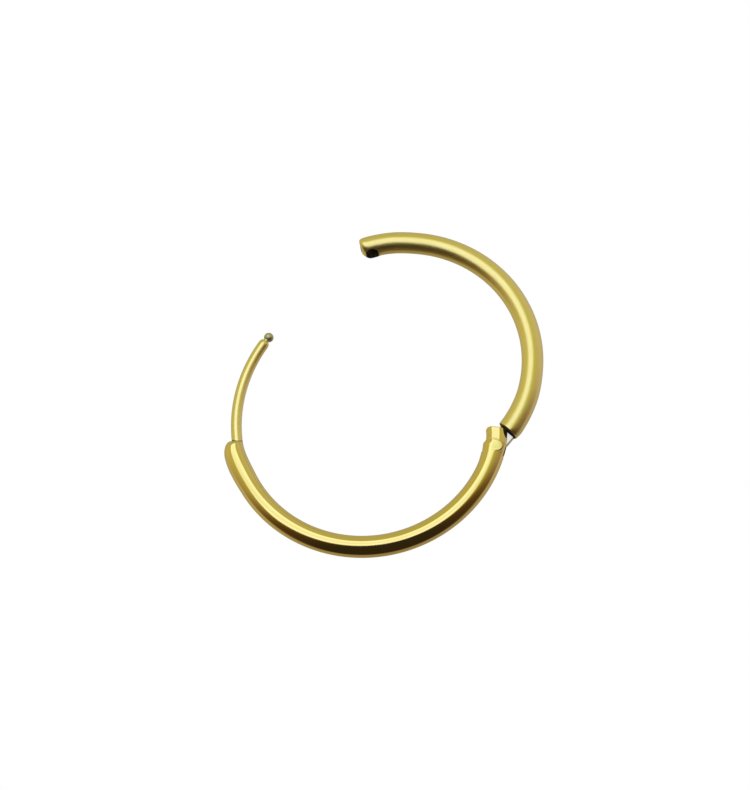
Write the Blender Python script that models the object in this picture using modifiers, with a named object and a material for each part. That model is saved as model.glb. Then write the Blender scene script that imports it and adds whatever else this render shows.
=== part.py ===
"""Hinged hoop earring of hollow tube, lying on its side and opened on its hinge.

Metres, +Z up, with the hoop resting on z = 0. The origin is on the hinge pin's axis, on that
surface. A lower half carries the ear post, and an upper half swings about the pin. Both halves
are drawn on one circle, as they lie when the hoop is closed, and an empty on the pin's axis
then turns the upper half open.

Angles are in degrees round the ring's centre, anticlockwise from +X.
Near the pin, "along" is the ring's tangent towards the upper half and "out" points away from
the ring's centre, both measured from the pin's axis.
"""
import math

import bmesh
import bpy
from mathutils import Matrix, Vector

MM = 0.001

# Ring
RING_RADIUS = 12.2 * MM
TUBE_RADIUS = 1.0 * MM
TUBE_WALL = 0.15 * MM
TUBE_SIDES = 16
BORE_SIDES = 12
ARC_STEP = 5.0

# Hinge pin, and the ear ends of the lower half that hold it
PIN_ANGLE = -26.3
PIN_OUTSET = 0.25 * MM
PIN_RADIUS = 0.30 * MM
PIN_HOLE_GAP = 0.04 * MM
PIN_SIDES = 20
RIVET_RADIUS = 0.48 * MM
RIVET_THICKNESS = 0.10 * MM
RIVET_EDGE = 0.03 * MM
RIVET_GAP = 0.02 * MM
EAR_FLAT_DEPTH = RIVET_THICKNESS + RIVET_GAP
EAR_FLAT_START = -1.0 * MM
EAR_LENGTH = 1.70 * MM
EAR_STEP_ALONG = 0.40 * MM
EAR_INNER_EDGE = -1.15 * MM
EAR_INNER_CORNER = 0.35 * MM
EAR_CORNER_STEPS = 3
EAR_CUT_ALONG = 1.05 * MM
EAR_CUT_OUT = 0.60 * MM
EAR_TIP_OUT = -0.15 * MM

# Steel tongue of the upper half, which turns in the slot between the ears
SLOT_HEIGHT = 0.75 * MM
SLOT_DEPTH = 0.72 * MM
TONGUE_THICKNESS = 0.65 * MM
TONGUE_EYE_RADIUS = 0.62 * MM
TONGUE_HALF_WIDTH = 0.78 * MM
TONGUE_NECK_ALONG = 0.50 * MM
TONGUE_END = 2.85 * MM
TONGUE_SEAT_GAP = 0.03 * MM
TONGUE_EYE_STEPS = 12
TONGUE_EDGE_STEPS = 3
UPPER_FACE_ALONG = 1.85 * MM

# Solid stretches of tube that carry the hinge
LOWER_PLUG = 1.9 * MM
UPPER_PLUG = 3.4 * MM

# Lower half's far end: a straight stretch, then a dome with the post's hole
LOWER_STRAIGHT_START = -173.0
LOWER_STRAIGHT_LENGTH = 2.45 * MM
LOWER_DOME_LENGTH = 0.80 * MM
DOME_STEPS = 5
DOME_TOP_DEGREES = 74.0

# Upper half's far end: a domed tip with the catch for the post
UPPER_TIP_ANGLE = 126.3
UPPER_DOME_LENGTH = 0.95 * MM
WINDOW_RADIUS = 0.62 * MM
WINDOW_LENGTH_RATIO = 0.92
WINDOW_SETBACK = 1.00 * MM
WINDOW_REACH = 2.0 * MM

# Ear post: an arc through three named places, offsets from the ring's centre line
POST_RADIUS = 0.50 * MM
POST_SIDES = 12
POST_EXIT_ANGLE = 176.0
POST_EXIT_OFFSET = -0.23 * MM
POST_MIDDLE_ANGLE = 150.0
POST_MIDDLE_OFFSET = -0.13 * MM
BALL_ANGLE = 124.7
BALL_OFFSET = 0.33 * MM
BALL_RADIUS = 0.45 * MM
BALL_FLAT_RADIUS = 0.11 * MM
NECK_RADIUS = 0.28 * MM
NECK_LENGTH = 0.20 * MM
SHOULDER_LENGTH = 0.22 * MM
POST_SEAT_DEPTH = 1.6 * MM
POST_SEAT_GAP = 0.03 * MM
POST_STEPS = 14
SHOULDER_STEPS = 3
BALL_STEPS = 6
HOLE_STEPS = 5
CATCH_GAP = 0.06 * MM
CATCH_RUN_IN = 0.12 * MM
CATCH_RUN_OUT = 2.2 * MM

# Motion: the upper half is stored opened by this angle
OPEN_ANGLE = 30.7

# Cutters reach this far past what they cut
OVERRUN = 1.5 * MM

WELD_DISTANCE = 0.000001
SMOOTH_ANGLE = math.radians(35.0)

GOLD_COLOUR = (0.82, 0.62, 0.26, 1.0)
STEEL_COLOUR = (0.72, 0.71, 0.66, 1.0)

# Worked out from the dimensions above
MID_HEIGHT = TUBE_RADIUS
PIN_TURN = math.radians(PIN_ANGLE)
OUT = Vector((math.cos(PIN_TURN), math.sin(PIN_TURN), 0.0))
ALONG = Vector((-math.sin(PIN_TURN), math.cos(PIN_TURN), 0.0))
RING_CENTRE = -OUT * (RING_RADIUS + PIN_OUTSET)


def clear_scene():
    """Remove what the file opened with."""
    for thing in list(bpy.data.objects):
        bpy.data.objects.remove(thing, do_unlink=True)


def new_collection(name, hidden=False):
    """Make a collection under the scene's own."""
    collection = bpy.data.collections.new(name)
    bpy.context.scene.collection.children.link(collection)
    collection.hide_render = hidden
    return collection


def new_material(name, colour, roughness):
    """Make a metal with a Principled shader."""
    material = bpy.data.materials.new(name)
    material.use_nodes = True
    shader = material.node_tree.nodes["Principled BSDF"]
    shader.inputs["Base Color"].default_value = colour
    shader.inputs["Metallic"].default_value = 1.0
    shader.inputs["Roughness"].default_value = roughness
    material.diffuse_color = colour
    return material


def ring_point(angle, offset=0.0):
    """Point on the ring's centre line, or offset outwards from it, at mid height."""
    turn = math.radians(angle)
    reach = RING_RADIUS + offset
    flat = RING_CENTRE + Vector((math.cos(turn), math.sin(turn), 0.0)) * reach
    return Vector((flat.x, flat.y, MID_HEIGHT))


def hinge_point(along, out, height=MID_HEIGHT):
    """Point given by its distances from the pin's axis and its height."""
    flat = ALONG * along + OUT * out
    return Vector((flat.x, flat.y, height))


def degrees_for(length):
    """Angle that a length of the ring's centre line subtends."""
    return math.degrees(length / RING_RADIUS)


def ring_arc(start, end):
    """Points along the ring's centre line from one angle to another."""
    count = max(2, round(abs(end - start) / ARC_STEP))
    return [ring_point(start + (end - start) * i / count) for i in range(count + 1)]


def arc_through(start, middle, end):
    """Circle through three places at mid height: a function of distance, and its length."""
    a = middle - start
    b = end - start
    cross = 2.0 * (a.x * b.y - a.y * b.x)
    centre_x = start.x + (b.y * a.dot(a) - a.y * b.dot(b)) / cross
    centre_y = start.y + (a.x * b.dot(b) - b.x * a.dot(a)) / cross
    centre = Vector((centre_x, centre_y, start.z))
    radius = (start - centre).length
    first = math.atan2(start.y - centre.y, start.x - centre.x)
    last = math.atan2(end.y - centre.y, end.x - centre.x)
    sweep = (last - first + math.pi) % (2.0 * math.pi) - math.pi

    def place(length):
        """Point at a distance along the arc, which may lie before its start."""
        turn = first + length / radius * (1.0 if sweep > 0.0 else -1.0)
        return centre + Vector((math.cos(turn), math.sin(turn), 0.0)) * radius

    return place, abs(sweep) * radius


def dome(base, tip, radius):
    """Points and radii that round a rod's end off from a base point to its tip."""
    rows = []
    for i in range(1, DOME_STEPS + 1):
        turn = math.radians(DOME_TOP_DEGREES * i / DOME_STEPS)
        rows.append((base.lerp(tip, math.sin(turn)), radius * math.cos(turn)))
    return rows


def sweep_rod(name, rows, sides, collection):
    """Round rod along rows of (point, radius), made a closed mesh object."""
    largest = max(radius for _, radius in rows)
    curve = bpy.data.curves.new(name, "CURVE")
    curve.dimensions = "3D"
    curve.twist_mode = "Z_UP"
    curve.bevel_depth = largest
    curve.bevel_resolution = (sides - 4) // 2
    curve.use_fill_caps = True
    spline = curve.splines.new("POLY")
    spline.points.add(len(rows) - 1)
    for point, (place, radius) in zip(spline.points, rows):
        point.co = (place.x, place.y, place.z, 1.0)
        point.radius = radius / largest
    wire = bpy.data.objects.new(name + "_curve", curve)
    bpy.context.scene.collection.objects.link(wire)
    bpy.context.view_layer.update()
    seen = wire.evaluated_get(bpy.context.evaluated_depsgraph_get())
    mesh = bpy.data.meshes.new_from_object(seen)
    matrix = wire.matrix_world.copy()
    bpy.data.objects.remove(wire, do_unlink=True)
    return mesh_object(name, mesh, matrix, collection)


def mesh_object(name, mesh, matrix, collection):
    """Weld a mesh, point its faces outwards and make an object of it."""
    work = bmesh.new()
    work.from_mesh(mesh)
    bmesh.ops.remove_doubles(work, verts=work.verts, dist=WELD_DISTANCE)
    bmesh.ops.recalc_face_normals(work, faces=work.faces)
    work.to_mesh(mesh)
    work.free()
    mesh.name = name
    thing = bpy.data.objects.new(name, mesh)
    thing.matrix_world = matrix
    collection.objects.link(thing)
    return thing


def box(name, low, high, collection):
    """Block between two corners given as (along, out, height) from the pin's axis."""
    work = bmesh.new()
    bmesh.ops.create_cube(work, size=1.0)
    size = [b - a for a, b in zip(low, high)]
    middle = [(a + b) / 2.0 for a, b in zip(low, high)]
    bmesh.ops.scale(work, vec=size, verts=work.verts)
    bmesh.ops.translate(work, vec=middle, verts=work.verts)
    bmesh.ops.transform(work, matrix=hinge_frame(), verts=work.verts)
    mesh = bpy.data.meshes.new(name)
    work.to_mesh(mesh)
    work.free()
    return mesh_object(name, mesh, Matrix.Identity(4), collection)


def hinge_frame():
    """Matrix from (along, out, height) distances to the world."""
    columns = (ALONG, OUT, Vector((0.0, 0.0, 1.0)))
    return Matrix([[column[row] for column in columns] for row in range(3)]).to_4x4()


def cylinder(name, radius, length, sides, matrix, collection):
    """Closed cylinder along its own Z, placed by a matrix."""
    work = bmesh.new()
    bmesh.ops.create_cone(
        work, cap_ends=True, segments=sides, radius1=radius, radius2=radius, depth=length
    )
    bmesh.ops.transform(work, matrix=matrix, verts=work.verts)
    mesh = bpy.data.meshes.new(name)
    work.to_mesh(mesh)
    work.free()
    return mesh_object(name, mesh, Matrix.Identity(4), collection)


def plate(name, outline, thickness, collection):
    """Flat plate at mid height from an outline of points, whose heights are not used."""
    curve = bpy.data.curves.new(name, "CURVE")
    curve.dimensions = "2D"
    curve.fill_mode = "BOTH"
    curve.extrude = thickness / 2.0
    spline = curve.splines.new("POLY")
    spline.points.add(len(outline) - 1)
    spline.use_cyclic_u = True
    for point, place in zip(spline.points, outline):
        point.co = (place.x, place.y, 0.0, 1.0)
    sheet = bpy.data.objects.new(name + "_curve", curve)
    sheet.location.z = MID_HEIGHT
    bpy.context.scene.collection.objects.link(sheet)
    bpy.context.view_layer.update()
    seen = sheet.evaluated_get(bpy.context.evaluated_depsgraph_get())
    mesh = bpy.data.meshes.new_from_object(seen)
    matrix = sheet.matrix_world.copy()
    bpy.data.objects.remove(sheet, do_unlink=True)
    return mesh_object(name, mesh, matrix, collection)


def cut(thing, cutter):
    """Take a cutter's shape out of an object."""
    cutter.display_type = "WIRE"
    cutter.hide_render = True
    boolean = thing.modifiers.new("cut_" + cutter.name, "BOOLEAN")
    boolean.operation = "DIFFERENCE"
    boolean.solver = "EXACT"
    boolean.object = cutter


def finish(thing, material):
    """Shade smooth with sharp edges, and give an object its metal."""
    thing.data.materials.clear()
    thing.data.materials.append(material)
    thing.data.shade_smooth()
    thing.data.set_sharp_from_angle(angle=SMOOTH_ANGLE)


def post_route():
    """Ear post's arc from the lower half's end to the ball's centre, and its length."""
    start = ring_point(POST_EXIT_ANGLE, POST_EXIT_OFFSET)
    middle = ring_point(POST_MIDDLE_ANGLE, POST_MIDDLE_OFFSET)
    end = ring_point(BALL_ANGLE, BALL_OFFSET)
    return arc_through(start, middle, end)


def lower_rows(radius, start_angle, trim):
    """Rows of the lower tube, or of its bore when it stops short of the dome by trim."""
    arc = ring_arc(start_angle, LOWER_STRAIGHT_START)
    turn = math.radians(LOWER_STRAIGHT_START)
    forward = Vector((math.sin(turn), -math.cos(turn), 0.0))
    tip = arc[-1] + forward * (LOWER_STRAIGHT_LENGTH - trim)
    base = tip - forward * (LOWER_DOME_LENGTH * radius / TUBE_RADIUS)
    return [(place, radius) for place in arc] + [(base, radius)] + dome(base, tip, radius)


def upper_rows(radius, start_angle, trim):
    """Rows of the upper tube, or of its bore when it stops short of the tip by trim."""
    dome_length = UPPER_DOME_LENGTH * radius / TUBE_RADIUS
    tip_angle = UPPER_TIP_ANGLE - degrees_for(trim)
    base_angle = tip_angle - degrees_for(dome_length)
    arc = ring_arc(start_angle, base_angle)
    turn = math.radians(base_angle)
    forward = Vector((-math.sin(turn), math.cos(turn), 0.0))
    tip = arc[-1] + forward * dome_length
    return [(place, radius) for place in arc] + dome(arc[-1], tip, radius)


def pin_hole(name, collection):
    """Cutter for the pin's hole, on the pin's axis."""
    matrix = Matrix.Translation((0.0, 0.0, MID_HEIGHT))
    length = 2.0 * (TUBE_RADIUS + OVERRUN)
    return cylinder(name, PIN_RADIUS + PIN_HOLE_GAP, length, PIN_SIDES, matrix, collection)


def ear_trim(collection):
    """Cutter that shapes the ears: a step inside, a rounded inner corner and a cut outer one."""
    corner_along = EAR_LENGTH - EAR_INNER_CORNER
    corner_out = EAR_INNER_EDGE + EAR_INNER_CORNER
    past = EAR_LENGTH + 2.0 * OVERRUN
    inside = EAR_INNER_EDGE - OVERRUN
    outside = EAR_CUT_OUT + OVERRUN
    outline = [(EAR_STEP_ALONG, inside), (EAR_STEP_ALONG, EAR_INNER_EDGE)]
    for i in range(EAR_CORNER_STEPS + 1):
        turn = math.radians(90.0 * i / EAR_CORNER_STEPS)
        along = corner_along + EAR_INNER_CORNER * math.sin(turn)
        outline.append((along, corner_out - EAR_INNER_CORNER * math.cos(turn)))
    outline += [(EAR_LENGTH, EAR_TIP_OUT), (EAR_CUT_ALONG, EAR_CUT_OUT)]
    outline += [(EAR_CUT_ALONG, outside), (past, outside), (past, inside)]
    places = [hinge_point(along, out) for along, out in outline]
    return plate("ear_trim", places, 2.0 * (TUBE_RADIUS + OVERRUN), collection)


def make_lower_half(parts, cutters, material):
    """Hollow tube with two hinge ears at one end and a dome round the post at the other."""
    ear_start = PIN_ANGLE + degrees_for(EAR_LENGTH + OVERRUN)
    half = sweep_rod("lower_half", lower_rows(TUBE_RADIUS, ear_start, 0.0), TUBE_SIDES, parts)
    bore_start = PIN_ANGLE - degrees_for(LOWER_PLUG)
    bore = lower_rows(TUBE_RADIUS - TUBE_WALL, bore_start, TUBE_WALL)
    cut(half, sweep_rod("lower_bore", bore, BORE_SIDES, cutters))
    cut(half, ear_trim(cutters))
    wide = 3.0 * TUBE_RADIUS
    far = EAR_LENGTH + OVERRUN
    slot_low = (-SLOT_DEPTH, -wide, MID_HEIGHT - SLOT_HEIGHT / 2.0)
    slot_high = (far, wide, MID_HEIGHT + SLOT_HEIGHT / 2.0)
    cut(half, box("ear_slot", slot_low, slot_high, cutters))
    top = 2.0 * TUBE_RADIUS
    flat_low = (EAR_FLAT_START, -wide, top - EAR_FLAT_DEPTH)
    cut(half, box("upper_ear_flat", flat_low, (far, wide, top + OVERRUN), cutters))
    flat_high = (far, wide, EAR_FLAT_DEPTH)
    cut(half, box("lower_ear_flat", (EAR_FLAT_START, -wide, -OVERRUN), flat_high, cutters))
    cut(half, pin_hole("ear_pin_hole", cutters))
    place, _ = post_route()
    hole_radius = POST_RADIUS + POST_SEAT_GAP
    deepest = POST_SEAT_DEPTH + TUBE_WALL
    rows = []
    for i in range(HOLE_STEPS + 1):
        length = (deepest + OVERRUN) * i / HOLE_STEPS - deepest
        rows.append((place(length), hole_radius))
    cut(half, sweep_rod("post_hole", rows, POST_SIDES, cutters))
    finish(half, material)
    return half


def make_upper_half(parts, cutters, material):
    """Hollow tube with a flat hinge end and a domed tip that catches the post's ball."""
    start = PIN_ANGLE + degrees_for(UPPER_FACE_ALONG - TUBE_RADIUS)
    half = sweep_rod("upper_half", upper_rows(TUBE_RADIUS, start, 0.0), TUBE_SIDES, parts)
    pieces = [half]
    wide = 3.0 * TUBE_RADIUS
    tall = 2.0 * TUBE_RADIUS + OVERRUN
    face = box("hinge_face", (-wide, -wide, -OVERRUN), (UPPER_FACE_ALONG, wide, tall), cutters)
    bore_start = PIN_ANGLE + degrees_for(UPPER_PLUG)
    bore = upper_rows(TUBE_RADIUS - TUBE_WALL, bore_start, TUBE_WALL)
    hollow = sweep_rod("upper_bore", bore, BORE_SIDES, cutters)
    seat_thickness = TONGUE_THICKNESS + 2.0 * TONGUE_SEAT_GAP
    seat = plate("tongue_seat", tongue_outline(TONGUE_SEAT_GAP), seat_thickness, cutters)
    for cutter in (face, hollow, seat, catch_channel(cutters), catch_window(cutters)):
        cut(half, cutter)
        pieces.append(cutter)
    finish(half, material)
    return pieces


def catch_channel(collection):
    """Cutter along the ball's own path about the pin, which opens the domed tip's end."""
    ball = ring_point(BALL_ANGLE, BALL_OFFSET)
    reach = math.hypot(ball.x, ball.y)
    closed = math.atan2(ball.y, ball.x)
    inner = closed - (CATCH_RUN_IN + BALL_RADIUS) / reach
    outer = closed + CATCH_RUN_OUT / reach
    rows = []
    for i in range(HOLE_STEPS + 1):
        turn = inner + (outer - inner) * i / HOLE_STEPS
        place = Vector((reach * math.cos(turn), reach * math.sin(turn), MID_HEIGHT))
        rows.append((place, BALL_RADIUS + CATCH_GAP))
    return sweep_rod("catch_channel", rows, POST_SIDES, collection)


def catch_window(collection):
    """Cutter for the oval window in the tip's inner side, through the inner wall alone."""
    angle = UPPER_TIP_ANGLE - degrees_for(WINDOW_SETBACK)
    turn = math.radians(angle)
    inward = Vector((-math.cos(turn), -math.sin(turn), 0.0))
    sideways = Vector((-math.sin(turn), math.cos(turn), 0.0))
    upward = Vector((0.0, 0.0, 1.0))
    columns = (sideways * WINDOW_LENGTH_RATIO, upward, inward)
    axes = Matrix([[column[row] for column in columns] for row in range(3)]).to_4x4()
    middle = ring_point(angle) + inward * (WINDOW_REACH / 2.0)
    matrix = Matrix.Translation(middle) @ axes
    return cylinder("catch_window", WINDOW_RADIUS, WINDOW_REACH, TUBE_SIDES, matrix, collection)


def tongue_outline(grow):
    """Round eye about the pin, then a strip that follows the tube, all widened by grow."""
    outline = []
    for i in range(TONGUE_EYE_STEPS + 1):
        turn = math.pi * (0.5 + i / TONGUE_EYE_STEPS)
        radius = TONGUE_EYE_RADIUS + grow
        outline.append(hinge_point(radius * math.cos(turn), radius * math.sin(turn)))
    first = PIN_ANGLE + degrees_for(TONGUE_NECK_ALONG)
    last = PIN_ANGLE + degrees_for(TONGUE_END + grow)
    edge = TONGUE_HALF_WIDTH + grow
    angles = [first + (last - first) * i / TONGUE_EDGE_STEPS for i in range(TONGUE_EDGE_STEPS + 1)]
    outline += [ring_point(angle, -edge) for angle in angles]
    outline += [ring_point(angle, edge) for angle in reversed(angles)]
    return outline


def make_hinge_tongue(parts, cutters, material):
    """Flat steel tongue with a round eye for the pin, seated in the upper half."""
    tongue = plate("hinge_tongue", tongue_outline(0.0), TONGUE_THICKNESS, parts)
    hole = pin_hole("tongue_pin_hole", cutters)
    cut(tongue, hole)
    finish(tongue, material)
    return [tongue, hole]


def make_ear_post(parts, material):
    """Bent wire with a rounded shoulder, a thin neck and a ball at its free end."""
    place, total = post_route()
    shoulder_end = total - BALL_RADIUS - NECK_LENGTH / 2.0
    shoulder_start = shoulder_end - SHOULDER_LENGTH
    seat = -POST_SEAT_DEPTH
    rows = []
    for i in range(POST_STEPS + 1):
        length = seat + (shoulder_start - seat) * i / POST_STEPS
        rows.append((place(length), POST_RADIUS))
    for i in range(1, SHOULDER_STEPS + 1):
        turn = math.radians(90.0 * i / SHOULDER_STEPS)
        radius = NECK_RADIUS + (POST_RADIUS - NECK_RADIUS) * math.cos(turn)
        rows.append((place(shoulder_start + SHOULDER_LENGTH * math.sin(turn)), radius))
    neck_turn = math.asin(NECK_RADIUS / BALL_RADIUS)
    end_turn = math.pi - BALL_FLAT_RADIUS / BALL_RADIUS
    for i in range(BALL_STEPS + 1):
        turn = neck_turn + (end_turn - neck_turn) * i / BALL_STEPS
        rows.append((place(total - BALL_RADIUS * math.cos(turn)), BALL_RADIUS * math.sin(turn)))
    post = sweep_rod("ear_post", rows, POST_SIDES, parts)
    finish(post, material)
    return post


def make_hinge_pin(parts, material):
    """Rivet turned as one profile, top to bottom, with a flat head at each end."""
    top = 2.0 * TUBE_RADIUS
    head = top - RIVET_THICKNESS
    profile = [
        (0.0, top),
        (RIVET_RADIUS - RIVET_EDGE, top),
        (RIVET_RADIUS, top - RIVET_EDGE),
        (RIVET_RADIUS, head),
        (PIN_RADIUS, head),
        (PIN_RADIUS, top - head),
        (RIVET_RADIUS, top - head),
        (RIVET_RADIUS, RIVET_EDGE),
        (RIVET_RADIUS - RIVET_EDGE, 0.0),
        (0.0, 0.0),
    ]
    work = bmesh.new()
    corners = [work.verts.new((x, 0.0, z)) for x, z in profile]
    for upper, lower in zip(corners, corners[1:]):
        work.edges.new((upper, lower))
    mesh = bpy.data.meshes.new("hinge_pin")
    work.to_mesh(mesh)
    work.free()
    pin = bpy.data.objects.new("hinge_pin", mesh)
    parts.objects.link(pin)
    screw = pin.modifiers.new("turn", "SCREW")
    screw.steps = PIN_SIDES
    screw.render_steps = PIN_SIDES
    screw.use_merge_vertices = True
    screw.merge_threshold = WELD_DISTANCE
    pin.data.materials.append(material)
    return pin


def hang_on_hinge(pieces, parts):
    """Parent the upper half's pieces to an empty on the pin's axis, and turn them open."""
    axis = bpy.data.objects.new("hoop_hinge_axis", None)
    axis.empty_display_size = TUBE_RADIUS
    parts.objects.link(axis)
    for piece in pieces:
        piece.parent = axis
    axis.rotation_euler.z = -math.radians(OPEN_ANGLE)


def main():
    """Build the earring."""
    clear_scene()
    parts = new_collection("hinged_hoop_earring")
    cutters = new_collection("cutters", hidden=True)
    gold = new_material("polished_gold", GOLD_COLOUR, 0.16)
    post_gold = new_material("gold_plated_wire", GOLD_COLOUR, 0.20)
    steel = new_material("bare_steel", STEEL_COLOUR, 0.30)
    make_lower_half(parts, cutters, gold)
    make_ear_post(parts, post_gold)
    make_hinge_pin(parts, gold)
    moving = make_upper_half(parts, cutters, gold)
    moving += make_hinge_tongue(parts, cutters, steel)
    hang_on_hinge(moving, parts)
    bpy.context.view_layer.update()


main()
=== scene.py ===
"""Hinged hoop earring: polished tubes, riveted hinge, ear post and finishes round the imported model.

Metres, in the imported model's frame: the origin is on the rivet's axis, at the surface that the
hoop lies on. Angles are in degrees round the ring's centre, anticlockwise from +X. Both halves are
worked out on one circle, as they lie when the hoop is closed, and the upper half is then turned
open about the rivet.

Near the rivet, "along" is the ring's tangent towards the upper half and "out" points away from
the ring's centre, both measured from the rivet's axis.
"""
import math

import bmesh
import bpy
import numpy as np
from mathutils import Matrix


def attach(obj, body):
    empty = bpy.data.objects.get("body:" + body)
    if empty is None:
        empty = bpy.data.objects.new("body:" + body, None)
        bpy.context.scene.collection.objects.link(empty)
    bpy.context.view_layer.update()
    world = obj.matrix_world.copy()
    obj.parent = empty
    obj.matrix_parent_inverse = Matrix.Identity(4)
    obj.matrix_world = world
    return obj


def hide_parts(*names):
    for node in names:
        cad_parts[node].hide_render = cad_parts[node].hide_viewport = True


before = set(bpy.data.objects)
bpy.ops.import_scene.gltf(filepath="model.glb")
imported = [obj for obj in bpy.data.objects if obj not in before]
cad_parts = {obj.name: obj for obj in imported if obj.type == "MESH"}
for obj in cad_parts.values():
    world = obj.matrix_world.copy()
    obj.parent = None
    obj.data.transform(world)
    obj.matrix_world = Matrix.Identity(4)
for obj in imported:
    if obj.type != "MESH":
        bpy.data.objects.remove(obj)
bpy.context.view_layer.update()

MM = 0.001

# Ring and tube
RING = 12.2 * MM
TUBE = 1.0 * MM
WALL = 0.15 * MM
MID = TUBE
ROUND_COLUMNS = 80
COLUMN = 2.0 * math.pi / ROUND_COLUMNS
ARC_SPACING = 0.3 * MM

# Rivet's place
PIN_ANGLE = -26.3
PIN_OUTSET = 0.25 * MM
PIN_TURN = math.radians(PIN_ANGLE)
OUT = np.array([math.cos(PIN_TURN), math.sin(PIN_TURN), 0.0])
ALONG = np.array([-math.sin(PIN_TURN), math.cos(PIN_TURN), 0.0])
UP = np.array([0.0, 0.0, 1.0])
CENTRE = -OUT * (RING + PIN_OUTSET)
OPEN_TURN = -math.radians(30.7)

# Edges that turn by more than this stay sharp in the shading
SHARP_ANGLE = math.radians(38.0)


# Surfaces


def grid_quads(rows, columns):
    """Quads of a grid whose points are counted row by row and whose last column meets its first."""
    row, column = np.meshgrid(np.arange(rows - 1), np.arange(columns), indexing="ij")
    row, column = row.ravel(), column.ravel()
    following = (column + 1) % columns
    near, far = row * columns, (row + 1) * columns
    return np.column_stack([near + column, near + following, far + following, far + column])


def fan(ring_start, columns, pole):
    """Triangles from a closed ring of points to the pole that closes it."""
    column = np.arange(columns)
    return np.column_stack([ring_start + (column + 1) % columns, ring_start + column,
                            np.full(columns, pole)])


def make_piece(name, surfaces, materials, keep=None, end_rows=0):
    """One mesh object from closed or open surfaces, with faces outwards and sharp edges kept.

    A surface is (rings, straight, painted shade, close first, close last): rings of points, the same
    points in straightened coordinates for the finish to follow, how much painted shade darkens each
    point from 0 to 1, and whether the first and the last ring are closed by a pole. keep is a mask of
    the quads of the first surface. Its first end_rows rows of quads take the second material.
    """
    points, straight, darkening, faces, slots = [], [], [], [], []
    count = 0
    for number, (rings, flat, painted_shade, close_first, close_last) in enumerate(surfaces):
        rows, columns = rings.shape[:2]
        painted_shade = np.broadcast_to(painted_shade, (rows, columns))
        quads = grid_quads(rows, columns) + count
        second = np.repeat(np.arange(rows - 1) < (end_rows if number == 0 else 0), columns)
        if keep is not None and number == 0:
            quads, second = quads[keep.ravel()], second[keep.ravel()]
        faces += quads.tolist()
        slots.append(second)
        points.append(rings.reshape(-1, 3))
        straight.append(flat.reshape(-1, 3))
        darkening.append(painted_shade.ravel())
        ends = count + rows * columns
        for wanted, row in ((close_first, 0), (close_last, rows - 1)):
            if wanted:
                points.append(rings[row].mean(axis=0)[None])
                straight.append(flat[row].mean(axis=0)[None])
                darkening.append(painted_shade[row].mean()[None])
                faces += fan(count + row * columns, columns, ends).tolist()
                slots.append(np.full(columns, row == 0 and number == 0 and end_rows > 0))
                ends += 1
        count = ends
    mesh = bpy.data.meshes.new(name)
    mesh.from_pydata(np.concatenate(points).tolist(), [], faces)
    mesh.polygons.foreach_set("material_index", np.concatenate(slots).astype(np.int32))
    place = mesh.attributes.new("straight", "FLOAT_VECTOR", "POINT")
    place.data.foreach_set("vector", np.concatenate(straight).ravel())
    shade_attribute = mesh.attributes.new("painted_shade", "FLOAT", "POINT")
    shade_attribute.data.foreach_set("value", np.concatenate(darkening).astype(np.float32))
    work = bmesh.new()
    work.from_mesh(mesh)
    loose = [point for point in work.verts if not point.link_faces]
    bmesh.ops.delete(work, geom=loose, context="VERTS")
    bmesh.ops.recalc_face_normals(work, faces=work.faces)
    work.to_mesh(mesh)
    work.free()
    mesh.shade_smooth()
    mesh.set_sharp_from_angle(angle=SHARP_ANGLE)
    for material in materials:
        mesh.materials.append(material)
    thing = bpy.data.objects.new(name, mesh)
    bpy.context.scene.collection.objects.link(thing)
    return thing


def turned_open(rings):
    """Points of the closed lay turned about the rivet to the open pose."""
    cosine, sine = math.cos(OPEN_TURN), math.sin(OPEN_TURN)
    turn = np.array([[cosine, -sine, 0.0], [sine, cosine, 0.0], [0.0, 0.0, 1.0]])
    return rings @ turn.T


def smooth_step(value):
    """0 up to 0, 1 from 1, and a smooth rise between."""
    value = np.clip(value, 0.0, 1.0)
    return value * value * (3.0 - 2.0 * value)


def round_angles(columns):
    """Angles round a tube, from the outer side over the top."""
    return 2.0 * math.pi * np.arange(columns) / columns


def ring_surface(angle, out, height):
    """Points at an angle round the ring, out from its centre line and up from mid height.

    Formula: the ring's centre, plus (ring radius + out) in the direction of the angle, plus the
    height. The straightened point is (length along the ring, out, height).
    """
    angle, out, height = np.broadcast_arrays(angle, out, height)
    reach = RING + out
    rings = np.stack([CENTRE[0] + reach * np.cos(angle), CENTRE[1] + reach * np.sin(angle),
                      MID + height], axis=-1)
    return rings, np.stack([angle * RING, out, height], axis=-1)


def angle_at(along, reach):
    """Angle round the ring of a point that far along from the rivet, at a reach from the centre."""
    return PIN_TURN + np.arcsin(along / reach)


def hinge_surface(along, out, height):
    """Points given by their distances from the rivet's axis and their height above the surface."""
    along, out, height = np.broadcast_arrays(along, out, height)
    rings = along[..., None] * ALONG + out[..., None] * OUT + height[..., None] * UP
    return rings, np.stack([along + RING * PIN_TURN, out, height - MID], axis=-1)


# Lower half

# The slot between the ears, and the tube's swelling behind them, by the place along the tube
SLOT_BASE = -0.72 * MM
SLOT_HALF = 0.375 * MM
SHOULDER = 0.18 * MM
SHOULDER_START = -2.70 * MM
SHOULDER_END = 0.05 * MM
SHOULDER_STEP = 0.45 * MM


def shoulder(along):
    """How far the tube's inner side swells towards the hinge, by the place along the tube.

    Formula: rises with the square of the distance from its start, then falls smoothly away
    just past the rivet's axis.
    """
    rise = np.clip((along - SHOULDER_START) / (SHOULDER_END - SHOULDER_START), 0.0, 1.0) ** 2
    return SHOULDER * rise * (1.0 - smooth_step((along - SHOULDER_END) / SHOULDER_STEP))


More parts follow.
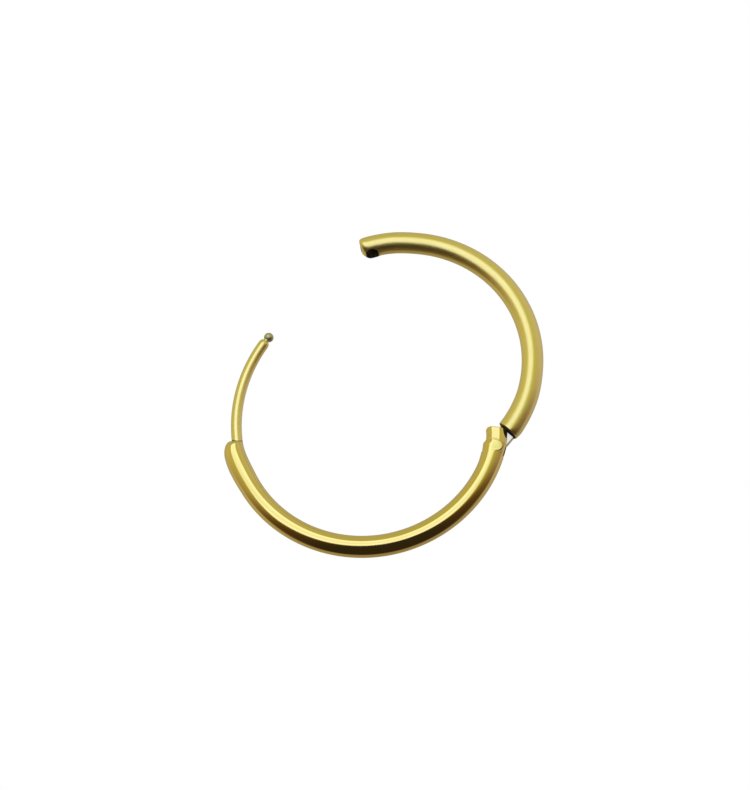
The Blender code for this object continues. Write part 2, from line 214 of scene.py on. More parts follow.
# Collar round the post: its end in degrees clockwise from +X, and lengths in degrees back from it
COLLAR_END = 183.8
COLLAR_TILT = 0.55
COLLAR_LEAN = 0.9
COLLAR_LEAN_POWER = 1.5
COLLAR_SWELL = 0.18 * MM
COLLAR_SWELL_LENGTH = 16.0
COLLAR_OFFSET = -0.22 * MM
COLLAR_RADIUS = 0.515 * MM
COLLAR_ROUND = 6.7
COLLAR_HEIGHT_POWER = 10
COLLAR_SLANT_LENGTH = 8.0
COLLAR_TAPER = 17.5
COLLAR_START = 23.0

# Rings that turn down into the post's hole: degrees back, how much narrower than the collar, and
# the painted shade that darkens the last rings round the hole
HOLE_DEPTHS = np.array([0.0, 0.1, 0.5, 1.0])
HOLE_NARROWING = np.array([0.008, 0.014, 0.018, 0.035]) * MM
HOLE_SHADE = (0.0, 0.4, 1.0, 1.0, 1.0, 1.0)


def collar_slant(turn):
    """How far the collar's edge lies past its plain place, in degrees round the ring.

    Formula: a share of the cosine of the angle round the tube, less a share of a power of its
    sine.
    """
    return COLLAR_TILT * np.cos(turn) - COLLAR_LEAN * np.abs(np.sin(turn)) ** COLLAR_LEAN_POWER


def lower_tube():
    """Tube from the hinge slot's base clockwise to the collar round the post.

    Formula: circles carried along the ring. Over the last degrees the outer edge swells a
    little, then follows a quarter ellipse down to the collar, and the inner edge tapers smoothly
    to it, while the height stays nearly whole. The end is slanted, its top and bottom further
    back than its sides, and the last rings turn down into the hole. Painted shade darkens the
    rings round the hole.
    """
    turn = round_angles(ROUND_COLUMNS)[None, :]
    cosine, sine = np.cos(turn), np.sin(turn)
    first_out = TUBE * cosine + shoulder(SLOT_BASE) * np.minimum(cosine, 0.0)
    start = angle_at(SLOT_BASE, RING + first_out)
    cap_scale = np.linspace(0.15, 1.0, 6)[:-1, None]
    cap_out, cap_height = first_out * cap_scale, TUBE * sine * cap_scale
    cap = ring_surface(angle_at(SLOT_BASE, RING + cap_out), cap_out, cap_height)

    last_plain = -math.radians(COLLAR_END - COLLAR_START)
    rows = round((PIN_TURN - last_plain) * RING / ARC_SPACING)
    share = np.linspace(0.0, 1.0, rows + 1)[:, None]
    angle = start + share * (last_plain - start)
    swelling = shoulder(RING * (angle - PIN_TURN)) * np.minimum(cosine, 0.0)
    arc = ring_surface(angle, TUBE * cosine + swelling, TUBE * sine + 0.0 * angle)

    corner = COLLAR_END - COLLAR_ROUND * (1.0 - np.sin(np.radians(np.linspace(0.0, 90.0, 22))))
    past = np.concatenate([np.linspace(COLLAR_END - COLLAR_START, corner[0], 16)[1:-1], corner])
    swell = COLLAR_SWELL * smooth_step((past - COLLAR_END + COLLAR_START) / COLLAR_SWELL_LENGTH)
    share = np.clip((past - corner[0]) / COLLAR_ROUND, 0.0, 1.0)
    fall = np.sqrt(1.0 - share ** 2)
    collar_outer, collar_inner = COLLAR_OFFSET + COLLAR_RADIUS, COLLAR_OFFSET - COLLAR_RADIUS
    outer = collar_outer + (TUBE + swell - collar_outer) * fall
    taper = smooth_step((past - COLLAR_END + COLLAR_TAPER) / COLLAR_TAPER)
    inner = -TUBE + (collar_inner + TUBE) * taper
    kept_height = np.sqrt(1.0 - share ** COLLAR_HEIGHT_POWER)
    tall = COLLAR_RADIUS + (TUBE - COLLAR_RADIUS) * kept_height
    hole_radius = COLLAR_RADIUS - HOLE_NARROWING
    hole_middle = np.full(len(hole_radius), COLLAR_OFFSET)
    past = np.concatenate([past, COLLAR_END - HOLE_DEPTHS])[:, None]
    tall = np.concatenate([tall, hole_radius])[:, None]
    middle = np.concatenate([(outer + inner) / 2.0, hole_middle])[:, None]
    radius = np.concatenate([(outer - inner) / 2.0, hole_radius])[:, None]
    near_end = smooth_step((past - COLLAR_END + COLLAR_SLANT_LENGTH) / COLLAR_SLANT_LENGTH)
    past = past + collar_slant(turn) * near_end
    end = ring_surface(-np.radians(past), middle + radius * cosine, tall * sine)
    parts = (cap, arc, end)
    rings, flat = [np.concatenate([part[index] for part in parts]) for index in (0, 1)]
    painted_shade = np.zeros((len(rings), 1))
    painted_shade[-len(HOLE_SHADE):, 0] = HOLE_SHADE
    return rings, flat, painted_shade, True, True


# Hinge ear, with places along it measured from the rivet's axis. A start and a step say where a
# change begins and over what length it is made. The lean bends the ear inwards, the corners are
# its rounded outline from above, the flat is filed on its top, the root is thicker, and the
# square widens its outer side.
EAR_LENGTH = 1.83 * MM
EAR_BURIED = -0.95 * MM
EAR_STATIONS = 80
EAR_COLUMNS = 144
EAR_HEART = SLOT_HALF + 0.26 * MM
EAR_LEAN = 0.13
EAR_LEAN_START = 0.5 * MM
EAR_CORNER_IN = 0.56 * MM
EAR_CORNER_OUT = 0.36 * MM
EAR_SPARE_IN = 0.02 * MM
EAR_SPARE_OUT = 0.10 * MM
EAR_ROUND = 0.09 * MM
EAR_FLAT = 0.052 * MM
EAR_FLAT_START = 0.50 * MM
EAR_FLAT_STEP = 0.04 * MM
EAR_FLAT_LOW = 0.022 * MM
EAR_FLAT_LOW_START = -0.60 * MM
EAR_FLAT_LOW_STEP = 0.10 * MM
EAR_SLANT = 0.13
EAR_SLANT_START = 0.8 * MM
EAR_SLANT_STEP = 0.9 * MM
EAR_PIVOT = 0.58 * MM
EAR_ROOT = 0.03 * MM
EAR_ROOT_IN = 0.4
EAR_ROOT_STEP = 0.45 * MM
EAR_ROOT_FALL_START = 0.1 * MM
EAR_ROOT_FALL = 0.7 * MM
EAR_SQUARE = 0.11 * MM
EAR_SQUARE_START = -0.1 * MM
EAR_SQUARE_STEP = 1.2 * MM

# Faint line of painted shade across the filed top, near the flat's start
LINE_SHADE = 0.62
LINE_PLACE = EAR_FLAT_START + 0.12 * MM
LINE_WIDTH = 0.035 * MM
LINE_HALF = 0.42 * MM

# Power of the soft least, and the distance that stands for no limit
SOFTNESS = 80.0
FAR = 9.0 * MM
NEARLY_NONE = 1e-9


def corner_cut(along, radius):
    """How far a finger's rounded corner cuts in, by the place along it: a quarter circle."""
    past = np.clip(along - EAR_LENGTH + radius, 0.0, radius)
    return radius - np.sqrt(radius ** 2 - past ** 2)


def ear(side):
    """One hinge ear, above (side 1) or below (side -1) the slot: a round finger.

    Formula: stations across the ear. Each is the soft least, in every direction from the
    station's middle, of the distances to the tube's round, the slot's wall, the lightly filed
    top and the edges that round the finger's two corners. The soft least of distances d is
    (sum of d^-p)^(-1/p), which leaves the edges a little rounded. The round's halves are
    ellipses, reached at the positive root of a quadratic: the inner one follows the shoulder's
    swelling, and the outer one squares off towards the finger's end. The last stations close
    over that end, which is slanted: stations there shift along in proportion to the distance
    out. A faint line of painted shade crosses the filed top.
    """
    buried = np.array([EAR_BURIED, SLOT_BASE - 0.001 * MM])
    plain = np.linspace(SLOT_BASE, EAR_LENGTH - EAR_ROUND, EAR_STATIONS)
    rounding = np.radians(np.linspace(12.0, 90.0, 8))
    end = EAR_LENGTH - EAR_ROUND * (1.0 - np.sin(rounding))
    cap = np.full(7, EAR_LENGTH)
    along = np.concatenate([buried, plain, end, cap])[:, None]
    shrink = np.concatenate([[0.9, 0.9], np.ones(len(plain)), np.ones(len(end)),
                             np.linspace(0.85, 0.1, len(cap))])[:, None]
    inset = np.concatenate([np.zeros(2 + len(plain)), EAR_ROUND * (1.0 - np.cos(rounding)),
                            np.full(len(cap), EAR_ROUND)])[:, None]

    middle = np.sqrt(RING ** 2 - along ** 2) - RING - PIN_OUTSET
    middle = middle - EAR_LEAN * np.maximum(along - EAR_LEAN_START, 0.0)
    inner_width = TUBE + shoulder(along) + EAR_SPARE_IN - corner_cut(along, EAR_CORNER_IN)
    outer_width = TUBE + EAR_SPARE_OUT - corner_cut(along, EAR_CORNER_OUT)
    filed = EAR_FLAT_LOW * smooth_step((along - EAR_FLAT_LOW_START) / EAR_FLAT_LOW_STEP)
    filed += (EAR_FLAT - EAR_FLAT_LOW) * smooth_step((along - EAR_FLAT_START) / EAR_FLAT_STEP)
    root = EAR_ROOT * smooth_step((along - SLOT_BASE) / EAR_ROOT_STEP)
    root = root * (1.0 - smooth_step((along - EAR_ROOT_FALL_START) / EAR_ROOT_FALL))
    inner_round = TUBE + shoulder(along) + EAR_ROOT_IN * root
    outer_round = TUBE + root
    outer_round += EAR_SQUARE * smooth_step((along - EAR_SQUARE_START) / EAR_SQUARE_STEP)
    slant = EAR_SLANT * smooth_step((along - EAR_SLANT_START) / EAR_SLANT_STEP)
    line = LINE_SHADE * np.exp(-((along - LINE_PLACE) / LINE_WIDTH) ** 2)

    turn = round_angles(EAR_COLUMNS)[None, :]
    go_out, go_up = np.cos(turn), np.sin(turn)
    inner = go_out < 0.0
    sideways = np.maximum(np.abs(go_out), NEARLY_NONE)
    upward, downward = np.maximum(go_up, NEARLY_NONE), np.maximum(-go_up, NEARLY_NONE)
    steep = (go_out / np.where(inner, inner_round, outer_round)) ** 2 + (go_up / TUBE) ** 2
    lifted = EAR_HEART * go_up / TUBE ** 2
    to_round = np.sqrt(lifted ** 2 - steep * ((EAR_HEART / TUBE) ** 2 - 1.0)) - lifted
    limits = [
        to_round / steep,
        np.where(go_up < -NEARLY_NONE, (EAR_HEART - SLOT_HALF) / downward, FAR),
        np.where(inner, inner_width, outer_width) / sideways,
        np.where(go_up > NEARLY_NONE, (TUBE - filed - EAR_HEART) / upward, FAR),
    ]
    limits = [np.clip(limit / MM, 1e-3, FAR / MM) for limit in limits]
    reach = sum(limit ** -SOFTNESS for limit in limits) ** (-1.0 / SOFTNESS) * MM
    reach = (reach - inset) * shrink
    out = middle + reach * go_out
    height = MID + side * (EAR_HEART + reach * go_up)
    rings, flat = hinge_surface(along + slant * (out - middle - EAR_PIVOT), out, height)
    painted_shade = line * np.exp(-((out - middle) / LINE_HALF) ** 4) * (go_up > 0.0)
    return rings, flat, painted_shade, True, True


# Upper half

# Face at the hinge
FACE_ALONG = 1.85 * MM
FACE_ROUND = 0.05 * MM
FACE_SLOPE = 0.06 * MM
FACE_ROWS = 8
FACE_CUT = 0.18 * MM
FACE_CUT_LENGTH = 0.55 * MM

# Tube's line: places in degrees round the ring
UPPER_INSET = 0.07 * MM
INSET_START, INSET_STEP = -2.0, 16.0
INSET_END, INSET_FALL = 101.0, 14.0
UPPER_SHOULDER = 0.185 * MM
WIDER_END, WIDER_LENGTH = 12.5, 29.5

# Domed tip, with the round mouth in its end
TIP_BASE = math.radians(126.3) - 0.95 * MM / RING
TIP_LENGTH = 1.02 * MM
TIP_BULGE = 0.06 * MM
TIP_NEAR = 0.03 * MM
MOUTH_OFFSET = 0.285 * MM
MOUTH_RADIUS = 0.53 * MM

# Fine grid of the tip, in rows along the tube and columns round it. The window's middle is at a
# row and a column. Within HOLE cells of it the grid is left out, and within BLOCK cells it is
# bent round the window. The lip's widths are shares of the window's radius.
FINE_SPACING = 0.076 * MM
DOME_START = 3
DOME_ROWS = 20
BLOCK = 16
HOLE = 8
WINDOW_ROW = 2.5
WINDOW_COLUMN = 37.0
WINDOW_HALF_ANGLE = math.radians(38.3)
LIP = 0.08 * MM
LIP_WIDTH = 0.45
LIP_INWARD, LIP_DOWN = 0.925, 0.38
LIP_LOWER_SIDE = 0.9
# Painted shade round the window's rim: its strength, its width in shares of the window's radius, and
# the share it keeps on the upper side
LIP_SHADE = 0.85
LIP_SHADE_WIDTH = 0.16
LIP_SHADE_LEAST = 0.35


def tip_surface(row, turn):
    """Fine part of the upper tube: rows up to DOME_START are round tube, later ones the dome.

    Formula: with q going from 0 to 90 degrees over the dome, its circle shrinks and shifts
    towards the mouth's circle by 1 - cos(q)^1.15, and its length past the tube grows as sin(q).
    Its height keeps the tube's size for longer, by the root of 1 - sin(q)^5. Towards the mouth
    the top, the bottom and the inner side reach a little further than the outer side.
    """
    rise = np.clip((row - DOME_START) / DOME_ROWS, 0.0, 1.0) * math.pi / 2.0
    gain = 1.0 - np.maximum(np.cos(rise), 0.0) ** 1.15
    radius = TUBE + (MOUTH_RADIUS - TUBE) * gain
    out = MOUTH_OFFSET * gain + radius * np.cos(turn)
    tall = MOUTH_RADIUS + (TUBE - MOUTH_RADIUS) * np.sqrt(1.0 - np.sin(rise) ** 5)
    height = tall * np.sin(turn)
    plain = DOME_START * FINE_SPACING
    past = np.clip(row, 0.0, DOME_START) * FINE_SPACING + (TIP_LENGTH - plain) * np.sin(rise)
    past = past + TIP_BULGE * gain * np.sin(turn) ** 2
    past = past + TIP_NEAR * gain * np.maximum(-np.cos(turn), 0.0)
    angle = TIP_BASE + np.minimum(row, 0.0) * FINE_SPACING / RING
    rings, flat = ring_surface(angle, out, height)
    forward = np.array([-math.sin(TIP_BASE), math.cos(TIP_BASE), 0.0])
    rings = rings + past[..., None] * forward
    flat[..., 0] += past
    return rings, flat


def upper_out(angle, cosine):
    """How far out the upper tube's surface is, by the angle round the ring and round the tube.

    Formula: a circle that lies slightly inside the ring's line between the hinge and the tip,
    and whose inner half is widened near the hinge.
    """
    degrees = np.degrees(angle)
    inset = smooth_step((degrees - INSET_START) / INSET_STEP)
    inset = inset * (1.0 - smooth_step((degrees - INSET_END) / INSET_FALL))
    wider = np.clip((WIDER_END - degrees) / WIDER_LENGTH, 0.0, 1.0) ** 1.2
    return TUBE * cosine - UPPER_INSET * inset + UPPER_SHOULDER * wider * np.minimum(cosine, 0.0)


def face_cut(along):
    """How far the tube's outer side draws in towards the hinge face, by the place along it.

    Formula: the square of the distance from where it starts, in shares of its length.
    """
    return FACE_CUT * np.clip(1.0 - (along - FACE_ALONG) / FACE_CUT_LENGTH, 0.0, 1.0) ** 2


def upper_tube():
    """Tube from the hinge's flat face to the tip, with the catch's window and raised lip.

    Formula: circles carried along the ring, starting on the hinge face, which slopes back a
    little with the square of the distance out. Round the window the grid's square rings turn
    smoothly into the window's oval, whose inside is left out. The lip raises the lower rim by a
    bell-shaped amount of the distance from the rim, and painted shade lies round the rim,
    strongest on its lower side.
    """
    turn = round_angles(ROUND_COLUMNS)[None, :]
    cosine, sine = np.cos(turn), np.sin(turn)
    outer_share = np.maximum(cosine, 0.0)
    face = np.linspace(0.1, 1.0, FACE_ROWS)[:-1, None] * (TUBE - FACE_ROUND)
    rounding = np.radians(np.linspace(0.0, 90.0, 6))[:, None]
    radius = np.concatenate([face, TUBE - FACE_ROUND * (1.0 - np.sin(rounding))])
    along = FACE_ALONG + np.concatenate([face * 0.0, FACE_ROUND * (1.0 - np.cos(rounding))])
    along = along + FACE_SLOPE * (outer_share * radius / TUBE) ** 2
    face_angle = PIN_TURN + FACE_ALONG / RING
    out, height = upper_out(face_angle, cosine) * radius / TUBE, radius * sine
    out = out - face_cut(along) * outer_share * radius / TUBE
    face_rings = ring_surface(angle_at(along, RING + out), out, height)

    fine_start = TIP_BASE - (BLOCK + 2) * FINE_SPACING / RING
    face_edge = FACE_ALONG + FACE_ROUND + FACE_SLOPE * outer_share ** 2
    first = angle_at(face_edge, RING + upper_out(face_angle, cosine))
    rows = round((fine_start - PIN_TURN) * RING / ARC_SPACING)
    share = np.linspace(0.0, 1.0, rows + 1)[1:-1, None]
    angle = first + share * (fine_start - first)
    body_out = upper_out(angle, cosine) - face_cut((angle - PIN_TURN) * RING) * outer_share
    body = ring_surface(angle, body_out, TUBE * sine + 0.0 * angle)

    row = np.arange(-(BLOCK + 2), DOME_START + DOME_ROWS + 1, dtype=float)[:, None]
    column = np.arange(ROUND_COLUMNS, dtype=float)[None, :]
    across = column - WINDOW_COLUMN
    row, across = np.broadcast_arrays(row, across)
    from_row, from_column = (row - WINDOW_ROW) / HOLE, across / HOLE
    square = np.maximum(np.abs(from_row), np.abs(from_column))
    distance = np.maximum(np.hypot(from_row, from_column), 1e-6)
    blend = smooth_step((square - 1.0) / (BLOCK / HOLE - 1.0))
    grow = WINDOW_HALF_ANGLE / (HOLE * COLUMN)
    scale = (1.0 - blend) * grow * np.maximum(square, 1.0) / distance + blend
    warped_row = WINDOW_ROW + from_row * HOLE * scale
    warped_across = from_column * HOLE * scale
    rim = np.hypot(warped_row - WINDOW_ROW, warped_across) / (HOLE * grow)
    fine, fine_flat = tip_surface(warped_row, (WINDOW_COLUMN + warped_across) * COLUMN)
    lower_side = smooth_step(0.5 + LIP_LOWER_SIDE * warped_across / (HOLE * grow))
    raised = LIP * lower_side * np.exp(-((rim - 1.0) / LIP_WIDTH) ** 2)
    place = fine_flat[..., 0] / RING
    lift = -np.stack([LIP_INWARD * np.cos(place), LIP_INWARD * np.sin(place),
                      np.full_like(place, LIP_DOWN)], axis=-1)
    fine = fine + raised[..., None] * lift

    parts = [face_rings, body, (fine, fine_flat)]
    rings = turned_open(np.concatenate([part[0] for part in parts]))
    flat = np.concatenate([part[1] for part in parts])
    start = len(rings) - len(fine)
    painted_shade = np.zeros((len(rings), ROUND_COLUMNS))
    painted_shade[start:] = LIP_SHADE * np.exp(-(np.maximum(rim - 1.0, 0.0) / LIP_SHADE_WIDTH) ** 2)
    painted_shade[start:] *= LIP_SHADE_LEAST + (1.0 - LIP_SHADE_LEAST) * lower_side
    keep = np.ones((len(rings) - 1, ROUND_COLUMNS), bool)
    cell_row = row[:-1] + 0.5 - WINDOW_ROW
    cell_column = across[:-1] + 0.5
    keep[start:] = np.maximum(np.abs(cell_row), np.abs(cell_column)) > HOLE
    return (rings, flat, painted_shade, True, False), keep


# Post, rivet and tongue

# The post's radius, and three places on its middle: degrees round the ring, and out from it
POST = 0.50 * MM
POST_PLACES = ((176.0, -0.23 * MM), (150.0, -0.11 * MM), (124.7, 0.33 * MM))
BALL = 0.45 * MM
NECK = 0.28 * MM
NECK_WAIST = 0.97 * NECK
NECK_SHOWN = 0.02 * MM
POST_ROUND = 0.50 * MM
POST_BURIED = -0.6 * MM
POST_COLUMNS = 48
# Painted shade on the wire beside the collar's edge: its gap from the edge, its width and its
# strength
SEAM_GAP = 0.04 * MM
SEAM_WIDTH = 0.08 * MM
SEAM_SHADE = 0.9


def post_arc():
    """Circle through the post's three named places: its centre, radius, first angle and sweep."""
    places = [CENTRE[:2] + (RING + offset) * np.array([math.cos(math.radians(angle)),
                                                       math.sin(math.radians(angle))])
              for angle, offset in POST_PLACES]
    start, a, b = places[0], places[1] - places[0], places[2] - places[0]
    cross = 2.0 * (a[0] * b[1] - a[1] * b[0])
    centre = start + np.array([b[1] * a.dot(a) - a[1] * b.dot(b),
                               a[0] * b.dot(b) - b[0] * a.dot(a)]) / cross
    first = math.atan2(*(start - centre)[::-1])
    last = math.atan2(*(places[2] - centre)[::-1])
    sweep = (last - first + math.pi) % (2.0 * math.pi) - math.pi
    return centre, float(np.hypot(*(start - centre))), first, sweep


def wire(length, radius, painted_shade=0.0):
    """Round rod along the post's arc: circles of these radii at these distances from its start."""
    centre, reach, first, sweep = post_arc()
    turn = round_angles(POST_COLUMNS)[None, :]
    length, radius = length[:, None], radius[:, None]
    angle = first + math.copysign(1.0, sweep) * length / reach
    out, height = radius * np.cos(turn), radius * np.sin(turn)
    rings = np.stack([centre[0] + (reach + out) * np.cos(angle),
                      centre[1] + (reach + out) * np.sin(angle), MID + height], axis=-1)
    length = np.broadcast_to(length, out.shape)
    return rings, np.stack([length, out, height], axis=-1), painted_shade, True, True


def post_wire():
    """Wire of even thickness whose end rounds off, as a quarter of a superellipse, to the neck.

    Painted shade lies on it in a ring that follows the collar's slanted edge, where the wire
    goes into the collar: a bell of the distance.
    """
    _, reach, _, sweep = post_arc()
    total = abs(sweep) * reach
    shoulder_end = total - BALL - NECK_SHOWN
    shoulder_start = shoulder_end - POST_ROUND
    plain = np.concatenate([np.linspace(POST_BURIED, 0.5 * MM, 45),
                            np.linspace(0.5 * MM, shoulder_start, 44)[1:]])
    share = np.sin(np.radians(np.linspace(6.0, 90.0, 12)))
    rounding = NECK + (POST - NECK) * (1.0 - share ** 2.4) ** 0.5
    neck = np.array([shoulder_end + 0.05 * MM, total - 0.8 * BALL, total - 0.5 * BALL])
    length = np.concatenate([plain, shoulder_start + POST_ROUND * share, neck])
    waist = np.full(len(neck), NECK_WAIST)
    radius = np.concatenate([np.full(len(plain), POST), rounding, waist])
    edge = COLLAR_END - 360.0 + POST_PLACES[0][0] + collar_slant(round_angles(POST_COLUMNS))
    seam = (np.radians(edge) * RING + SEAM_GAP)[None, :]
    painted_shade = SEAM_SHADE * np.exp(-((length[:, None] - seam) / SEAM_WIDTH) ** 2)
    return wire(length, radius, painted_shade)


def post_ball():
    """Sphere on the post's end, with rings spaced evenly by angle from pole to pole."""
    _, reach, _, sweep = post_arc()
    turn = np.radians(np.linspace(5.0, 175.0, 35))
    return wire(abs(sweep) * reach - BALL * np.cos(turn), BALL * np.sin(turn))


HEAD = 0.50 * MM
HEAD_THICKNESS = 0.38 * MM
HEAD_ROUND = 0.045 * MM
HEAD_CROWN = 0.032 * MM
# Painted shade on each head's rounded edge, rising towards its underside
HEAD_EDGE_SHADE = (0.0, 0.0, 0.0, 0.1, 0.4, 0.8)
SHAFT = 0.30 * MM
SHAFT_REACH = 0.7 * MM


def rivet():
    """Rivet turned about its axis: a slightly crowned head, the shaft, and the other head.

    The crown falls with the square of the distance from the axis, and the heads' edges are
    quarter circles. Painted shade darkens the heads' rounded edges, their undersides and the shaft.
    """
    turn = np.radians(np.linspace(0.0, 90.0, 6))
    edge = HEAD - HEAD_ROUND * (1.0 - np.sin(turn))
    drop = HEAD_ROUND * (1.0 - np.cos(turn))
    face = np.linspace(0.08, 0.95, 8) * (HEAD - HEAD_ROUND)
    head_radius = np.concatenate([face, edge])
    head_depth = np.concatenate([face * 0.0, drop]) + HEAD_CROWN * (head_radius / HEAD) ** 2
    radius = np.concatenate([head_radius, [HEAD, SHAFT, SHAFT]])
    depth = np.concatenate([head_depth, [HEAD_THICKNESS, HEAD_THICKNESS, SHAFT_REACH]])
    painted_shade = np.concatenate([face * 0.0, HEAD_EDGE_SHADE, np.ones(3)])
    radius = np.concatenate([radius, radius[::-1]])[:, None]
    height = np.concatenate([2.0 * TUBE - depth, depth[::-1]])[:, None]
    painted_shade = np.concatenate([painted_shade, painted_shade[::-1]])[:, None]
    angle = round_angles(64)[None, :]
    rings, flat = hinge_surface(radius * np.cos(angle), radius * np.sin(angle), height)
    return rings, flat, painted_shade, True, True


TONGUE_HALF = 0.325 * MM
TONGUE_EYE = 0.68 * MM
TONGUE_WIDTH = 0.78 * MM
TONGUE_OUTER = 0.68 * MM
TONGUE_NECK = 0.50 * MM
TONGUE_END = 2.85 * MM
TONGUE_ROUND = 0.03 * MM
TONGUE_ROWS = 44
TONGUE_COLUMNS = 48
EYE_HOLE = 0.34 * MM

# Painted shade on the tongue: near the tube's face, and short of a slanting line near the ear
SHADED_AT_FACE = 0.19 * MM
LIT_LINE = 0.74 * MM
LIT_LINE_ALONG, LIT_LINE_OUT = 0.6, 0.8
SHADE_START, SHADE_STEP = 0.25 * MM, 0.2 * MM
SHADE_BLEND = 0.06 * MM
SHADED_EDGE = (0.2, 0.6)


def tongue():
    """Flat steel tongue: a ring about the rivet, from the eye's hole to the outline and back.

    Formula: the outline is half a circle round the eye, then a strip that follows the ring. Each
    row runs between the hole's circle and the outline, on the upper face, round the rounded
    edge, on the lower face, and up the hole's wall to the first row. Painted shade darkens it near
    the upper tube's face, short of a slanting line near the ear where the ear shades it, and low on
    its edge and over its lower face, under it.
    """
    eye = np.radians(np.linspace(90.0, 270.0, 41))
    eye_along, eye_out = TONGUE_EYE * np.cos(eye), TONGUE_EYE * np.sin(eye)
    sides = PIN_TURN + np.linspace(TONGUE_NECK, TONGUE_END, TONGUE_COLUMNS) / RING
    near, far = RING - TONGUE_WIDTH, RING + TONGUE_OUTER
    end = np.linspace(near, far, 34)[1:-1]
    reach = np.concatenate([np.full(TONGUE_COLUMNS, near), end, np.full(TONGUE_COLUMNS, far)])
    angle = np.concatenate([sides, np.full(len(end), sides[-1]), sides[::-1]])
    along = np.concatenate([eye_along, reach * np.sin(angle - PIN_TURN)])
    out = np.concatenate([eye_out, reach * np.cos(angle - PIN_TURN) - RING - PIN_OUTSET])
    distance = np.hypot(along, out)
    unit_along, unit_out = along / distance, out / distance

    rounding = np.radians(np.linspace(0.0, 90.0, 5))
    outward, flats = np.linspace(0.0, 1.0, TONGUE_ROWS), np.ones(TONGUE_ROWS)
    across = np.concatenate([outward, np.ones(2 * len(rounding[1:])), outward[::-1]])
    grow = np.concatenate([-flats, np.sin(rounding[1:]) - 1.0,
                           np.sin(rounding[:0:-1]) - 1.0, -flats]) * TONGUE_ROUND
    down = np.concatenate([flats, np.cos(rounding[1:]), -np.cos(rounding[:0:-1]), -flats])
    height = np.sign(down) * (TONGUE_HALF - TONGUE_ROUND * (1.0 - np.abs(down)))
    reach = EYE_HOLE + (distance[None, :] + grow[:, None] - EYE_HOLE) * across[:, None]
    along, out = reach * unit_along, reach * unit_out
    at_face = smooth_step((along - FACE_ALONG + SHADED_AT_FACE) / SHADE_BLEND)
    short = LIT_LINE - LIT_LINE_ALONG * along - LIT_LINE_OUT * out
    at_ear = smooth_step(short / SHADE_BLEND) * smooth_step((along - SHADE_START) / SHADE_STEP)
    rings, flat = hinge_surface(along, out, MID + height[:, None])
    edge = np.concatenate([np.zeros(TONGUE_ROWS + 4), np.linspace(*SHADED_EDGE, 4),
                           np.full(TONGUE_ROWS, SHADED_EDGE[1])])
    painted_shade = np.maximum(edge[:, None], np.maximum(at_face, at_ear))
    rings, flat, painted_shade = [np.concatenate([rows, rows[:1]]) for rows in (rings, flat, painted_shade)]
    painted_shade[-1] = np.maximum(painted_shade[-1], SHADED_EDGE[1])
    return turned_open(rings), flat, painted_shade, False, False


# Shader helpers


def feed(tree, socket, value):
    """Set a socket to a plain value, or link another node's socket to it."""
    if isinstance(value, bpy.types.NodeSocket):
        tree.links.new(value, socket)
    else:
        socket.default_value = value


def calc(tree, operation, *values, clamp=False):
    """One math node fed with sockets or plain numbers; its result socket."""
    node = tree.nodes.new("ShaderNodeMath")
    node.operation, node.use_clamp = operation, clamp
    for socket, value in zip(node.inputs, values):
        feed(tree, socket, value)
    return node.outputs[0]


def ramp(tree, value, low, high, start=0.0, end=1.0):
    """Smooth change from start to end while a value goes from low to high."""
    node = tree.nodes.new("ShaderNodeMapRange")
    node.interpolation_type = "SMOOTHSTEP"
    for label, given in (("Value", value), ("From Min", low), ("From Max", high),
                         ("To Min", start), ("To Max", end)):
        feed(tree, node.inputs[label], given)
    return node.outputs["Result"]


def blend_colour(tree, share, first, second):
    """Mix of two colours, each a socket or a plain colour, by a share from 0 to 1."""
    node = tree.nodes.new("ShaderNodeMix")
    node.data_type = "RGBA"
    feed(tree, node.inputs["Factor"], share)
    for label, colour in (("A", first), ("B", second)):
        feed(tree, node.inputs[label], colour + (1.0,) if isinstance(colour, tuple) else colour)
    return node.outputs["Result"]


def noise_value(tree, place, scale, detail, roughness=0.5):
    """Value of a noise at a place, from 0 to 1."""
    node = tree.nodes.new("ShaderNodeTexNoise")
    for label, given in (("Vector", place), ("Scale", scale), ("Detail", detail),
                         ("Roughness", roughness)):
        feed(tree, node.inputs[label], given)
    return node.outputs["Fac"]


# Finishes that the metals share


def group_tree(name, inputs, outputs):
    """Empty shader node group with named inputs (name, type, value) and outputs (name, type)."""
    tree = bpy.data.node_groups.new(name, "ShaderNodeTree")
    for label, kind, value in inputs:
        socket = tree.interface.new_socket(label, in_out="INPUT", socket_type=kind)
        if value is not None:
            socket.default_value = value
    for label, kind in outputs:
        tree.interface.new_socket(label, in_out="OUTPUT", socket_type=kind)
    given, result = tree.nodes.new("NodeGroupInput"), tree.nodes.new("NodeGroupOutput")
    return tree, given.outputs, result.inputs


def polishing_lines():
    """Fine polishing lines that run along the tube: noise drawn out lengthwise."""
    tree, given, result = group_tree(
        "polishing_lines",
        [("Place", "NodeSocketVector", None), ("Stretch", "NodeSocketFloat", 0.06),
         ("Fineness", "NodeSocketFloat", 9000.0)],
        [("Lines", "NodeSocketFloat")])
    split, join = tree.nodes.new("ShaderNodeSeparateXYZ"), tree.nodes.new("ShaderNodeCombineXYZ")
    feed(tree, split.inputs[0], given["Place"])
    lengthwise = calc(tree, "MULTIPLY", split.outputs["X"], given["Stretch"])
    for axis, value in (("X", lengthwise), ("Y", split.outputs["Y"]), ("Z", split.outputs["Z"])):
        feed(tree, join.inputs[axis], value)
    lines = noise_value(tree, join.outputs[0], given["Fineness"], 3.0, 0.6)
    feed(tree, result["Lines"], lines)
    return tree


